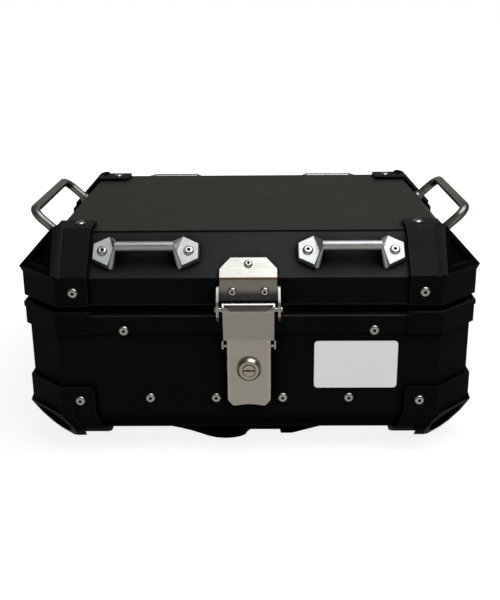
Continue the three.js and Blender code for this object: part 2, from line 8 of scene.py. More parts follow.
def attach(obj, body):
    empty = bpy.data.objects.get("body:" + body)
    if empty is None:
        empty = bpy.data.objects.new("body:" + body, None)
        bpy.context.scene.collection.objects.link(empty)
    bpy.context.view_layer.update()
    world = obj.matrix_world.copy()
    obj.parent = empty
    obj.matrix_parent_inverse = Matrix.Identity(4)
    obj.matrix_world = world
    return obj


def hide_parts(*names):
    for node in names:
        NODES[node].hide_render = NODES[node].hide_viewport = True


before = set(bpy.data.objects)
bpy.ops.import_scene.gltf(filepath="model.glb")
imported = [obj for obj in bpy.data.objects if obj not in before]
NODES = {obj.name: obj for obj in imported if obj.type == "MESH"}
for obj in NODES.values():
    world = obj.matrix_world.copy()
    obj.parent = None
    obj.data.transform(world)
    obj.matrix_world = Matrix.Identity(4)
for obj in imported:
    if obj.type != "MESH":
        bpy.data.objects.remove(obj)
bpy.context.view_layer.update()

scene = bpy.context.scene
MM = 0.001
QUADS = [(-1, -1, "front_left"), (1, -1, "front_right"), (-1, 1, "rear_left"), (1, 1, "rear_right")]


# ------------------------------------------------------------------ materials
class Mat:
    """A Principled material with short calls for the nodes round it. Object coordinates are the row frame's."""

    def __init__(self, name):
        self.m = bpy.data.materials.new(name)
        self.m.use_nodes = True
        self.t = self.m.node_tree
        self.t.nodes.clear()
        self.out = self.add("ShaderNodeOutputMaterial")
        self.b = self.add("ShaderNodeBsdfPrincipled")
        self.t.links.new(self.b.outputs[0], self.out.inputs[0])
        tc = self.add("ShaderNodeTexCoord")
        self.obj, self.nrm, self.uv = tc.outputs["Object"], tc.outputs["Normal"], tc.outputs["UV"]

    def add(self, kind):
        return self.t.nodes.new(kind)

    def put(self, sock, v):
        if isinstance(v, bpy.types.NodeSocket):
            self.t.links.new(v, sock)
        elif isinstance(v, (tuple, list)) and sock.type == "RGBA":
            sock.default_value = (*v[:3], 1)
        else:
            sock.default_value = v

    def set(self, **kw):
        names = {"color": "Base Color", "rough": "Roughness", "metal": "Metallic", "spec": "Specular IOR Level", "normal": "Normal",
                 "aniso": "Anisotropic", "coat": "Coat Weight", "coat_rough": "Coat Roughness", "ior": "IOR"}
        for k, v in kw.items():
            self.put(self.b.inputs[names[k]], v)
        return self

    def noise(self, scale, detail=3.0, rough=0.5, vec=None, warp=0.0):
        n = self.add("ShaderNodeTexNoise")
        self.put(n.inputs["Vector"], vec or self.obj)
        n.inputs["Scale"].default_value = scale
        n.inputs["Detail"].default_value = detail
        n.inputs["Roughness"].default_value = rough
        n.inputs["Distortion"].default_value = warp
        return n.outputs["Fac"]

    def cells(self, scale, vec=None, feature="F1"):
        n = self.add("ShaderNodeTexVoronoi")
        n.feature = feature
        self.put(n.inputs["Vector"], vec or self.obj)
        n.inputs["Scale"].default_value = scale
        return n.outputs["Distance"]

    def stretch(self, x, y, z, vec=None):
        n = self.add("ShaderNodeMapping")
        self.put(n.inputs["Vector"], vec or self.obj)
        n.inputs["Scale"].default_value = (x, y, z)
        return n.outputs[0]

    def remap(self, v, a, b, c=0.0, d=1.0, smooth=False):
        n = self.add("ShaderNodeMapRange")
        n.clamp = True
        if smooth:
            n.interpolation_type = "SMOOTHSTEP"
        for s, x in zip(n.inputs[:5], (v, a, b, c, d)):
            self.put(s, x)
        return n.outputs[0]

    def calc(self, op, a, b=0.0):
        n = self.add("ShaderNodeMath")
        n.operation = op
        self.put(n.inputs[0], a)
        self.put(n.inputs[1], b)
        return n.outputs[0]

    def mix(self, f, a, b):
        n = self.add("ShaderNodeMix")
        n.data_type = "RGBA"
        self.put(n.inputs[0], f)
        self.put(n.inputs[6], a)
        self.put(n.inputs[7], b)
        return n.outputs[2]

    def blend(self, f, a, b):
        n = self.add("ShaderNodeMix")
        self.put(n.inputs[0], f)
        self.put(n.inputs[2], a)
        self.put(n.inputs[3], b)
        return n.outputs[0]

    def xyz(self, v=None):
        n = self.add("ShaderNodeSeparateXYZ")
        self.put(n.inputs[0], v or self.obj)
        return n.outputs

    def bump(self, *layers):
        """layers: (height, metres of relief)."""
        last = None
        for height, dist in layers:
            n = self.add("ShaderNodeBump")
            n.inputs["Strength"].default_value = 1.0
            n.inputs["Distance"].default_value = dist
            self.put(n.inputs["Height"], height)
            if last:
                self.put(n.inputs["Normal"], last)
            last = n.outputs[0]
        return last

    def open_sky(self, reach, lo=0.35, hi=0.95):
        """0 deep under or beside another piece, 1 in the open."""
        n = self.add("ShaderNodeAmbientOcclusion")
        n.samples = 6
        n.inputs["Distance"].default_value = reach
        return self.remap(n.outputs["AO"], lo, hi, smooth=True)

    def edges(self, radius, lo=0.03, hi=0.3):
        """1 along sharp and folded edges, 0 on the flats."""
        bv = self.add("ShaderNodeBevel")
        bv.samples = 4
        bv.inputs["Radius"].default_value = radius
        g = self.add("ShaderNodeNewGeometry")
        d = self.add("ShaderNodeVectorMath")
        d.operation = "DOT_PRODUCT"
        self.put(d.inputs[0], bv.outputs[0])
        self.put(d.inputs[1], g.outputs["Normal"])
        return self.remap(self.calc("SUBTRACT", 1.0, d.outputs["Value"]), lo, hi)


def make_black_sheet():
    m = Mat("black_sheet")
    cloud = m.noise(11, 5, 0.6)
    patch = m.noise(55, 3, 0.6)
    grain = m.noise(1150, 2, 0.65)
    fine = m.noise(3200, 1, 0.5)
    peel = m.noise(330, 2, 0.45)
    z = m.xyz(m.nrm)[2]
    up = m.remap(z, 0.93, 1.0, smooth=True)
    slope = m.calc("MULTIPLY", m.remap(z, 0.45, 0.7, smooth=True), m.remap(z, 0.75, 0.9, 1, 0))
    col = m.mix(m.remap(cloud, 0.35, 0.68), (0.0018, 0.0021, 0.0024), (0.0029, 0.0032, 0.0034))
    # painted light: slopes get a bluish painted reflection and upward faces a lighter olive tone, set only by the
    # way each face turns
    col = m.mix(m.calc("MULTIPLY", slope, 0.7), col, (0.0080, 0.0098, 0.0120))
    col = m.mix(m.calc("MULTIPLY", up, m.remap(patch, 0.3, 0.75, 0.93, 1.0)), col, (0.0205, 0.0210, 0.0162))
    col = m.mix(m.remap(grain, 0.56, 0.74, 0, 0.20), col, (0.024, 0.025, 0.025))
    col = m.mix(m.remap(grain, 0.26, 0.44, 0.45, 0), col, (0.0015, 0.0015, 0.0015))
    # lighter edges: edge wear with a painted highlight along folds and corners
    edge_wear_and_sheen = m.calc("MULTIPLY", m.edges(0.0011), m.remap(patch, 0.42, 0.66, 0.05, 0.4))
    col = m.mix(edge_wear_and_sheen, col, (0.022, 0.023, 0.024))
    # a shadow line along the long folds of the top plate
    x, y, zz = m.xyz()
    fold = m.calc("SUBTRACT", m.calc("ABSOLUTE", y), 0.1472)
    fold = m.calc("MULTIPLY", m.remap(m.calc("ABSOLUTE", fold), 0.0006, 0.0019, 1, 0, smooth=True), m.remap(zz, 0.2245, 0.2258))
    col = m.mix(m.calc("MULTIPLY", fold, 0.85), col, (0.001, 0.001, 0.001))
    scuff = m.noise(26, 4, 0.7, vec=m.stretch(1, 6, 1), warp=0.6)
    rough = m.calc("ADD", m.remap(patch, 0.3, 0.7, 0.49, 0.54), m.remap(grain, 0.3, 0.7, -0.05, 0.07))
    rough = m.calc("SUBTRACT", rough, m.remap(scuff, 0.62, 0.74, 0, 0.025))
    spec = m.blend(fold, m.remap(z, 0.3, 0.6, 0.042, m.blend(up, 0.235, 0.22)), 0.02)
    # painted shade: downward faces low on the base are darkened towards black
    under = m.blend(m.remap(zz, 0.055, 0.065), m.remap(z, -0.66, -0.08, 0.10, 1.0), 1.0)
    col = m.mix(under, (0, 0, 0), col)
    spec = m.calc("MULTIPLY", spec, under)
    # painted shade: colour and specular are darkened under and beside other pieces, such as beneath the cleat bars
    shade = m.open_sky(0.026, 0.62, 0.98)
    col = m.mix(shade, m.mix(0.15, (0, 0, 0), col), col)
    spec = m.calc("MULTIPLY", spec, m.remap(shade, 0, 1, 0.10, 1.0))
    m.set(color=col, rough=rough, metal=0.0, spec=spec, normal=m.bump((peel, 0.00022), (grain, 0.00010), (fine, 0.00004)))
    return m.m


def make_black_plastic(name="black_plastic", tone=1.0, groove=False):
    m = Mat(name)
    cloud = m.noise(16, 4, 0.55)
    grain = m.cells(820)
    pores = m.noise(1500, 2, 0.6)
    flow = m.noise(22, 3, 0.5, vec=m.stretch(1, 1, 3.5), warp=0.8)
    col = m.mix(m.remap(cloud, 0.35, 0.7), (0.0013, 0.0015, 0.0017), (0.0023, 0.0026, 0.0028))
    z = m.xyz(m.nrm)[2]
    # painted light: upward faces get a lighter warm tone and slopes a bluish painted reflection, set only by the way
    # each face turns
    col = m.mix(m.remap(z, 0.80, 0.98, 0, 0.6, smooth=True), col, (0.0074, 0.0075, 0.0066))
    slope = m.calc("MULTIPLY", m.remap(z, 0.6, 0.7, smooth=True), m.remap(z, 0.75, 0.9, 1, 0))
    col = m.mix(m.calc("MULTIPLY", slope, 0.6), col, (0.0050, 0.0062, 0.0076))
    col = m.mix(m.remap(pores, 0.60, 0.78, 0, 0.3), col, (0.018, 0.018, 0.018))
    edge = m.edges(0.0012)
    # lighter edges: edge wear with a painted highlight
    edge_wear_and_sheen = m.calc("MULTIPLY", edge, m.remap(m.noise(140, 3, 0.7), 0.42, 0.68, 0.25, 0.85))
    col = m.mix(edge_wear_and_sheen, col, (0.026, 0.028, 0.029))
    rough = m.calc("ADD", m.remap(flow, 0.3, 0.7, 0.42, 0.52), m.remap(grain, 0.0, 0.7, -0.03, 0.05))
    # the triangular corner facets get painted shade, darker colour and less specular, picked out by the way they
    # face; the rim profile's top edge is polished by the lid
    x, y, zz = m.xyz()
    facet = m.calc("MULTIPLY", m.remap(z, 0.48, 0.54), m.remap(z, 0.60, 0.64, 1, 0))
    near = lambda at, by: m.calc("MULTIPLY", m.remap(m.calc("ABSOLUTE", m.calc("SUBTRACT", zz, at)), 0.0011, 0.0015, 1, 0), by)
    lip = m.calc("MULTIPLY", m.calc("ADD", near(0.1502, 1.0), near(0.1546, 0.6)), m.remap(z, 0.25, 0.55))
    spec = m.blend(lip, m.calc("MULTIPLY", m.blend(edge, m.remap(z, 0.3, 0.6, 0.046, 0.078), 0.22), m.remap(facet, 0, 1, 1.0, 0.22)), 0.36)
    col = m.mix(m.calc("MULTIPLY", facet, 0.75), col, (0.0016, 0.0016, 0.0016))
    shade = m.open_sky(0.010)
    # painted shade: downward faces are darkened towards black, and a tone below 1 darkens a whole copy of the
    # plastic for a piece that sits in shade
    under = m.calc("MULTIPLY", m.remap(z, -0.85, -0.42, 0.2, 1.0), tone)
    if groove:  # the rim's inner step, always in the shade of the lid's skirt
        under = m.calc("MULTIPLY", under, m.remap(zz, 0.1513, 0.1519, 1.0, 0.25))
    spec = m.calc("MULTIPLY", m.calc("MULTIPLY", spec, m.remap(shade, 0, 1, 0.35, 1.0)), under)
    col = m.mix(under, (0, 0, 0), col)
    m.set(color=col, rough=m.calc("SUBTRACT", rough, m.calc("MULTIPLY", edge, 0.10)), spec=spec, normal=m.bump((grain, 0.00008), (pores, 0.00006)))
    return m.m


def make_rubber():
    m = Mat("seal_rubber")
    bloom = m.noise(45, 4, 0.6)
    fine = m.noise(1400, 2, 0.6)
    col = m.mix(m.remap(bloom, 0.4, 0.7), (0.005, 0.005, 0.005), (0.012, 0.012, 0.012))
    m.set(color=col, rough=m.remap(bloom, 0.3, 0.7, 0.68, 0.85), spec=0.2, normal=m.bump((fine, 0.00008)))
    return m.m


def make_metal(name, a, b, rough, streak, grainy=1100, relief=0.00002, rvar=0.07, tint=None, aniso=0.0, shade=None, lines_by=0.35):
    """Metal with brush lines along `streak`, blasted micro relief and slight tone changes."""
    m = Mat(name)
    cloud = m.noise(30, 4, 0.6)
    lines = m.noise(1.0, 3, 0.75, vec=m.stretch(*streak))
    pits = m.noise(grainy, 2, 0.6)
    col = m.mix(m.remap(cloud, 0.32, 0.7), a, b)
    col = m.mix(m.remap(lines, 0.35, 0.7, 0.0, lines_by), col, tuple(0.78 * v for v in a))
    if tint:
        col = m.mix(m.remap(m.noise(70, 3, 0.6), 0.55, 0.8, 0, 0.5), col, tint)
    # lighter edges: edge wear with a painted highlight
    edge_wear_and_sheen = m.edges(0.0006)
    col = m.mix(m.calc("MULTIPLY", edge_wear_and_sheen, 0.5), col, tuple(min(0.9, 1.25 * v) for v in b))
    if shade:
        col = shade(m, col)
    r = m.calc("ADD", m.remap(cloud, 0.3, 0.7, rough - rvar / 2, rough + rvar / 2), m.remap(lines, 0.3, 0.7, -rvar, rvar))
    m.set(color=col, rough=r, metal=1.0, aniso=aniso, normal=m.bump((lines, relief), (pits, relief)))
    return m.m


def make_label():
    m = Mat("label")
    x, y, z = m.xyz()
    u = m.calc("ABSOLUTE", m.calc("SUBTRACT", x, 0.1075))
    v = m.calc("ABSOLUTE", m.calc("SUBTRACT", z, 0.0976))
    du, dv = m.calc("SUBTRACT", 0.042, u), m.calc("SUBTRACT", 0.0254, v)
    d = m.calc("MINIMUM", du, dv)  # distance in from the label's edge
    film = m.noise(38, 4, 0.6)
    fibre = m.noise(900, 2, 0.6)
    col = m.mix(m.remap(film, 0.35, 0.7), (0.90, 0.905, 0.905), (0.93, 0.93, 0.93))
    col = m.mix(m.remap(fibre, 0.55, 0.75, 0, 0.12), col, (0.70, 0.70, 0.69))
    col = m.mix(m.remap(d, 0.0, 0.0007, 0.5, 0), col, (0.45, 0.45, 0.44))
    m.set(color=col, rough=m.remap(film, 0.3, 0.7, 0.34, 0.46), spec=0.4, coat=0.25, coat_rough=0.2, normal=m.bump((film, 0.00010), (fibre, 0.000015)))
    return m.m


def make_socket(name, a, b):
    m = Mat(name)
    dirt = m.noise(900, 3, 0.6)
    m.set(color=m.mix(m.remap(dirt, 0.3, 0.7), a, b), rough=m.remap(dirt, 0.3, 0.7, 0.55, 0.8), metal=0.6, normal=m.bump((dirt, 0.00006)))
    return m.m


def bracket_painted_shade(m, col):
    """Latch bracket: painted shade, duller and darker down its upright face, with a brown line in the fold."""
    x, y, z = m.xyz()
    face = m.calc("MULTIPLY", m.remap(z, 0.1915, 0.1908), m.remap(y, -0.1896, -0.1888))
    # painted shade: the upright face darkens towards its bottom edge
    deep = m.remap(z, 0.1805, 0.1722, 0.50, 0.11, smooth=True)
    col = m.mix(m.blend(face, 0.80, deep), (0, 0, 0), col)
    fold = m.calc("MULTIPLY", m.remap(m.calc("ABSOLUTE", m.calc("SUBTRACT", z, 0.1898)), 0.0010, 0.0017, 1, 0, smooth=True), m.remap(y, -0.1896, -0.1888))
    return m.mix(m.calc("MULTIPLY", fold, 0.92), col, (0.175, 0.098, 0.055))


def hasp_painted_highlights(m, col):
    """Hasp plate: painted highlights, brighter bands along its two long sides and a bright top on the roll's lip."""
    x, y, z = m.xyz()
    side = m.remap(m.calc("ABSOLUTE", x), 0.0178, 0.0196, smooth=True)
    low = m.remap(z, 0.1275, 0.1255)
    col = m.mix(m.calc("MULTIPLY", m.calc("MULTIPLY", side, low), 0.4), col, (0.58, 0.565, 0.525))
    # painted highlight along the top of the roll's lip
    return m.mix(m.remap(z, 0.1652, 0.1660), col, (0.86, 0.85, 0.82))


SHEET, PLASTIC, RUBBER = make_black_sheet(), make_black_plastic(), make_rubber()
ALLOY = make_metal("satin_alloy", (0.49, 0.493, 0.495), (0.55, 0.553, 0.555), 0.45, (90, 2600, 2600), 1500, 0.00002, lines_by=0.18)
BAR = make_metal("grey_bar", (0.25, 0.24, 0.217), (0.295, 0.285, 0.26), 0.33, (700, 60, 700), 1300, 0.000008, rvar=0.04, lines_by=0.15)
# SHADED is the black plastic at 0.3 brightness for the mount plate: painted shade for a piece deep under the case
SHADED, RIM = make_black_plastic("black_plastic_shaded_plate", 0.3), make_black_plastic("black_plastic_rim", 1.0, True)
STEEL_TINT = dict(rough=0.31, streak=(60, 60, 2400), grainy=1200, relief=0.00002, tint=(0.42, 0.37, 0.31))
STEEL = make_metal("latch_steel", (0.50, 0.475, 0.435), (0.57, 0.545, 0.50), **STEEL_TINT)
LEVER = make_metal("hasp_steel", (0.44, 0.417, 0.380), (0.50, 0.477, 0.437), shade=hasp_painted_highlights, lines_by=0.16, **dict(STEEL_TINT, relief=0.000012))
LATCH = make_metal("bracket_steel", (0.52, 0.50, 0.46), (0.60, 0.58, 0.54), shade=bracket_painted_shade, **STEEL_TINT)
# dark steel for the roll's recess: oxide in the hollow with painted shade
RECESS = make_metal("recess_steel", (0.10, 0.090, 0.075), (0.16, 0.145, 0.12), 0.42, (2400, 60, 60), 1200, 0.00002)
CHROME = make_metal("lock_metal", (0.42, 0.398, 0.32), (0.49, 0.464, 0.382), 0.20, (500, 500, 500), 1600, 0.00001, rvar=0.04)
SCREW = make_metal("stainless_screws", (0.50, 0.485, 0.46), (0.60, 0.58, 0.55), 0.24, (700, 700, 700), 1500, 0.000015, rvar=0.05)
LABEL, SOCKET, KEYWAY = make_label(), make_socket("socket_shadow", (0.008, 0.008, 0.008), (0.035, 0.032, 0.028)), make_socket("keyway_shadow", (0.05, 0.045, 0.036), (0.12, 0.11, 0.09))


# ------------------------------------------------------------------ mesh helpers (millimetres until placed)
def basis(n):
    n = Vector(n).normalized()
    a = Vector((0, 0, 1)) if abs(n.z) < 0.9 else Vector((0, 1, 0))
    x = (a - n * a.dot(n)).normalized()
    return x, n.cross(x), n


def quad_rings(bm, a, b, mi=0):
    n = max(len(a), len(b))
    made = []
    for k in range(n):
        j = (k + 1) % n
        if len(a) == 1:
            f = (a[0], b[k], b[j])
        elif len(b) == 1:
            f = (a[k], b[0], a[j])
        else:
            f = (a[k], b[k], b[j], a[j])
        face = bm.faces.new(f)
        face.material_index = mi
        face.smooth = True
        made.append(face)
    return made


def lathe(bm, p, n, prof, segs=32, mats=None, loop=False):
    """prof: (radius, height along n); radius 0 closes the end."""
    x, y, n = basis(n)
    p = Vector(p)
    rings = []
    for r, h in prof:
        if r < 1e-6:
            rings.append([bm.verts.new(p + n * h)])
        else:
            rings.append([bm.verts.new(p + n * h + x * (r * math.cos(2 * math.pi * k / segs)) + y * (r * math.sin(2 * math.pi * k / segs))) for k in range(segs)])
    pairs = list(zip(rings, rings[1:])) + ([(rings[-1], rings[0])] if loop else [])
    for i, (a, b) in enumerate(pairs):
        quad_rings(bm, a, b, mats[i] if mats else 0)
    return rings


def hull(points, bevel=0.0, segs=2, ang=22):
    bm = bmesh.new()
    for q in points:
        bm.verts.new(q)
    r = bmesh.ops.convex_hull(bm, input=bm.verts[:], use_existing_faces=False)
    drop = {g for g in r["geom_interior"] + r["geom_unused"] if isinstance(g, bmesh.types.BMVert) and g.is_valid}
    bmesh.ops.delete(bm, geom=[v for v in bm.verts if v in drop or not v.link_faces], context="VERTS")
    bmesh.ops.dissolve_limit(bm, angle_limit=math.radians(0.8), verts=bm.verts[:], edges=bm.edges[:])
    bevel_sharp(bm, bevel, segs, ang)
    return bm


def bevel_sharp(bm, width, segs=2, ang=22, keep=None):
    if width <= 0:
        return
    bm.normal_update()
    es = [e for e in bm.edges if len(e.link_faces) == 2 and e.calc_face_angle(0) > math.radians(ang) and (keep is None or keep(e))]
    bmesh.ops.bevel(bm, geom=es, offset=width, offset_type="OFFSET", segments=segs, profile=0.6, affect="EDGES", clamp_overlap=True)


def prism(outline, a, b, place, bevel=0.0, segs=2):
    """outline in a plane, extruded from depth a to b; place(u, v, depth) gives the point."""
    bm = bmesh.new()
    lo = [bm.verts.new(place(u, v, a)) for u, v in outline]
    hi = [bm.verts.new(place(u, v, b)) for u, v in outline]
    bm.faces.new(lo)
    bm.faces.new(hi[::-1])
    n = len(outline)
    for k in range(n):
        j = (k + 1) % n
        bm.faces.new((lo[k], hi[k], hi[j], lo[j]))
    bmesh.ops.recalc_face_normals(bm, faces=bm.faces[:])
    bevel_sharp(bm, bevel, segs, 40)
    return bm


def merge(bm, other, matrix=None):
    me = bpy.data.meshes.new("part")
    other.to_mesh(me)
    other.free()
    if matrix is not None:
        me.transform(matrix)
    bm.from_mesh(me)
    bpy.data.meshes.remove(me)
    return bm


def temp(bm):
    bmesh.ops.recalc_face_normals(bm, faces=bm.faces[:])
    me = bpy.data.meshes.new("temp")
    bm.to_mesh(me)
    bm.free()
    ob = bpy.data.objects.new("temp", me)
    scene.collection.objects.link(ob)
    return ob


def boolean(a, b, op):
    """Both are temp objects; b is used up."""
    md = a.modifiers.new("b", "BOOLEAN")
    md.operation, md.object, md.solver = op, b, "EXACT"
    me = bpy.data.meshes.new_from_object(a.evaluated_get(bpy.context.evaluated_depsgraph_get()))
    a.modifiers.clear()
    old = a.data
    a.data = me
    bpy.data.meshes.remove(old)
    old = b.data
    bpy.data.objects.remove(b)
    bpy.data.meshes.remove(old)
    return a


def joined(parts):
    a = temp(parts[0])
    for q in parts[1:]:
        a = boolean(a, temp(q), "UNION")
    return a


def take(ob):
    """The temp object's mesh as bmesh; the object is removed."""
    bm = bmesh.new()
    bm.from_mesh(ob.data)
    me = ob.data
    bpy.data.objects.remove(ob)
    bpy.data.meshes.remove(me)
    return bm


def place(bm, name, mats, body, slot, nodes=(), sharp=38, scaled=False, recalc=True):
    if recalc:
        bmesh.ops.recalc_face_normals(bm, faces=bm.faces[:])
    if not scaled:
        bmesh.ops.scale(bm, vec=(MM, MM, MM), verts=bm.verts[:])
    me = bpy.data.meshes.new(name)
    bm.to_mesh(me)
    bm.free()
    for f in me.polygons:
        f.use_smooth = True
    me.set_sharp_from_angle(angle=math.radians(sharp))
    for mt in mats:
        me.materials.append(mt)
    ob = bpy.data.objects.new(name, me)
    scene.collection.objects.link(ob)
    wn = ob.modifiers.new("even_normals", "WEIGHTED_NORMAL")
    wn.keep_sharp = True
    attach(ob, body)
    if nodes:
        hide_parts(*nodes)
    return ob


def cylinder(a, b, r, segs=32):
    bm = bmesh.new()
    a, b = Vector(a), Vector(b)
    lathe(bm, a, b - a, [(0, 0), (r, 0), (r, (b - a).length), (0, (b - a).length)], segs)
    return bm


def overlaps(o):
    """True when a face of the finished mesh is cut into triangles that lie outside it."""
    e = o.evaluated_get(bpy.context.evaluated_depsgraph_get())
    me = e.to_mesh()
    me.calc_loop_triangles()
    area = {}
    for tr in me.loop_triangles:
        area[tr.polygon_index] = area.get(tr.polygon_index, 0.0) + tr.area
    worst = max((a - me.polygons[i].area, i) for i, a in area.items())
    e.to_mesh_clear()
    return worst[0] > 1e-6, worst[0]


def carry(node, mat, bevel, segs=2, ang=24):
    """A CAD node whose shape is right: soft edges and its real material."""
    o = NODES[node]
    o.data.materials.clear()
    o.data.materials.append(mat)
    w = o.modifiers.new("weld", "WELD")
    w.merge_threshold = 4e-6
    d = o.modifiers.new("flat", "DECIMATE")
    d.decimate_type = "DISSOLVE"
    d.angle_limit = math.radians(0.5)
    if bevel:
        b = o.modifiers.new("edge", "BEVEL")
        b.width = bevel * MM
        b.segments = segs
        b.limit_method = "ANGLE"
        b.angle_limit = math.radians(ang)
        b.profile = 0.6
    n = o.modifiers.new("even_normals", "WEIGHTED_NORMAL")
    n.keep_sharp = False
    n.weight = 80
    bad, by = overlaps(o)
    if bad:
        o.modifiers.remove(d)
        print("KEPT_TRIANGLES", node, round(by * 1e6, 2), "then", round(overlaps(o)[1] * 1e6, 3), "mm2")
    return o


# ------------------------------------------------------------------ CAD nodes that stay
carry("lid_shell", SHEET, 1.3, 3)
carry("base_wall", SHEET, 0.3)
carry("base_pan", SHEET, 0.35)
carry("base_rim", RIM, 0.9, 3)
carry("lid_seal", RUBBER, 0.8)
for _, _, q in QUADS:
    carry("lid_guard_" + q, PLASTIC, 0.9, 3)
    carry("upper_guard_" + q, PLASTIC, 0.6)
    carry("lower_guard_" + q, PLASTIC, 0.9, 3)
carry("mount_plate", SHADED, 1.0)
carry("keeper_plate", STEEL, 0.3)
carry("latch_bracket", LATCH, 0.45)
carry("latch_pin", STEEL, 0.35)
for s in ("left", "right"):
    carry("handle_backing_" + s, SCREW, 0.5)
    carry("hinge_leaf_lid_" + s, STEEL, 0.3)
    carry("hinge_leaf_base_" + s, STEEL, 0.3)
    carry("hinge_pin_" + s, STEEL, 0.3)


# ------------------------------------------------------------------ screws and nuts
def screw(bm, p, n, nut_at=None, r=5.25, turn=0.3, end=None):
    """Button head with a hex socket, its shank, and where nut_at is given a flanged nut that far behind the seat."""
    x, y, n = basis(n)
    p = Vector(p)
    k, segs = r / 5.25, 24

    def ring(rad, h, hexed=False):
        vs = []
        for i in range(segs):
            a = 2 * math.pi * i / segs
            q = rad / math.cos(((a - math.pi / 6 + math.pi / 6) % (math.pi / 3)) - math.pi / 6) if hexed else rad
            c, s = math.cos(a + turn), math.sin(a + turn)
            vs.append(bm.verts.new(p + n * h + x * (q * c) + y * (q * s)))
        return vs

    tip = (end or (nut_at + 4.4 if nut_at else 6.0))
    rings = [([bm.verts.new(p + n * 0.9)], 1), (ring(1.42 * k, 1.0, True), 1), (ring(1.42 * k, 2.12, True), 1), (ring(1.62 * k, 2.34, True), 1)]
    for rad, h in ((1.95, 2.42), (2.7, 2.46), (3.4, 2.40), (4.05, 2.14), (4.6, 1.70), (4.97, 1.22), (5.19, 0.75), (5.25, 0.4), (5.1, 0.08)):
        rings.append((ring(rad * k, h), 0))
    rings += [(ring(2.55 * k, 0.05), 0), (ring(2.5 * k, -tip + 0.5), 0), (ring(2.0 * k, -tip), 0), ([bm.verts.new(p - n * tip)], 0)]
    for (a, _), (b, mi) in zip(rings, rings[1:]):
        quad_rings(bm, a, b, mi)
    if nut_at:
        # flange, then a chamfered hexagon
        lathe(bm, p, -n, [(2.2, nut_at + 0.02), (5.4 * k, nut_at + 0.02), (5.4 * k, nut_at + 0.35), (4.9 * k, nut_at + 0.8), (2.2, nut_at + 0.8)], 24, loop=True)
        hx = []
        for h, rad in ((0.6, 4.45), (2.9, 4.45), (3.3, 4.0), (3.3, 2.2), (0.6, 2.2)):
            vs = []
            for i in range(24):
                a = 2 * math.pi * i / 24
                q = rad * k
                if rad > 4.1:
                    q = min(rad, 3.9 / math.cos((a % (math.pi / 3)) - math.pi / 6)) * k
                vs.append(bm.verts.new(p - n * (nut_at + h) + x * (q * math.cos(a + turn)) + y * (q * math.sin(a + turn))))
            hx.append(vs)
        for a, b in zip(hx, hx[1:] + hx[:1]):
            quad_rings(bm, a, b, 0)


def screw_set(name, seats, body, node, nut_at, r=5.25, end=None):
    bm = bmesh.new()
    for i, (p, n) in enumerate(seats):
        screw(bm, p, n, nut_at, r, turn=0.35 + 1.1 * i + 0.13 * len(name), end=end)
    return place(bm, name, [SCREW, SOCKET], body, "stainless_screws", [node], sharp=44)


def bracket(name, node, seats, upto, body, bevel=0.4, r=6.2, mat=None):
    """The CAD node's backing plate without its plain screws: each is cut off down to `upto` below its seat."""
    src = NODES[node]
    bm = bmesh.new()
    bm.from_mesh(src.data)
    bmesh.ops.remove_doubles(bm, verts=bm.verts[:], dist=4e-6)
    bmesh.ops.scale(bm, vec=(1000, 1000, 1000), verts=bm.verts[:])
    ob = temp(bm)
    tool = bmesh.new()
    for p, n in seats:
        n = Vector(n).normalized()
        merge(tool, cylinder(Vector(p) + n * 6, Vector(p) - n * upto, r, 20))
    ob = boolean(ob, temp(tool), "DIFFERENCE")
    bm = take(ob)
    bmesh.ops.dissolve_limit(bm, angle_limit=math.radians(0.8), verts=bm.verts[:], edges=bm.edges[:])
    o = place(bm, name, [mat or SCREW], body, "stainless_screws", [node], sharp=30, recalc=False)
    b = o.modifiers.new("edge", "BEVEL")
    b.width, b.segments, b.limit_method, b.angle_limit = bevel * MM, 2, "ANGLE", math.radians(30)
    wn = o.modifiers.new("even", "WEIGHTED_NORMAL")
    wn.keep_sharp = False
    return o


ny, nz = 37.8 / math.hypot(37.8, 38.9), 38.9 / math.hypot(37.8, 38.9)
mx, mz = 37.8 / math.hypot(37.8, 34.8), 34.8 / math.hypot(37.8, 34.8)
for sx, sy, q in QUADS:
    corner = [((sx * 172.1, sy * 129.4, 231.4), (0, 0, 1)), ((sx * 172.4, sy * 189.1, 176), (0, sy, 0)), ((sx * 230.7, sy * 129.4, 176), (sx, 0, 0))]
    screw_set("lid_corner_screws_" + q, corner, "lid", "lid_corner_fixing_" + q, 8.7)
    bracket("lid_corner_backing_" + q, "lid_corner_fixing_" + q, corner, 5.5, "lid")
    low = [((sx * 172.9, sy * 186.8, 59.5), (0, sy, 0)), ((sx * 231.3, sy * 129.4, 59.5), (sx, 0, 0))]
    screw_set("lower_screws_" + q, low, "base", "lower_fixing_" + q, 11.7)
    bracket("lower_backing_" + q, "lower_fixing_" + q, low, 8.5, "base")
    N = Vector((0, sy * ny, nz))
    O = Vector((sx * 101.35, sy * 166.15, 209.1))
    pair = [(O + Vector((s * 42.75, 0, 0)) + N * 6.3, N) for s in (-1, 1)]
    screw_set("cleat_screws_" + q, pair, "lid", "cleat_fixing_" + q, 11.7)
    bracket("cleat_backing_" + q, "cleat_fixing_" + q, pair, 8.6, "lid")
for sy, nm in ((-1, "front"), (1, "rear")):
    row = [((x, sy * 183, 61), (0, sy, 0)) for x in (-101.5, -34, 34, 101.5)]
    screw_set("row_screws_" + nm, row, "base", "row_fixing_" + nm, 7.95)
    bracket("row_backing_" + nm, "row_fixing_" + nm, row, 4.8, "base")
    band = [((x, sy * 184.8, 135), (0, sy, 0)) for x in (-124.9, 124.9)]
    screw_set("band_screws_" + nm, band, "base", "band_fixing_" + nm, 7.15)
    bracket("band_backing_" + nm, "band_fixing_" + nm, band, 4.0, "base")
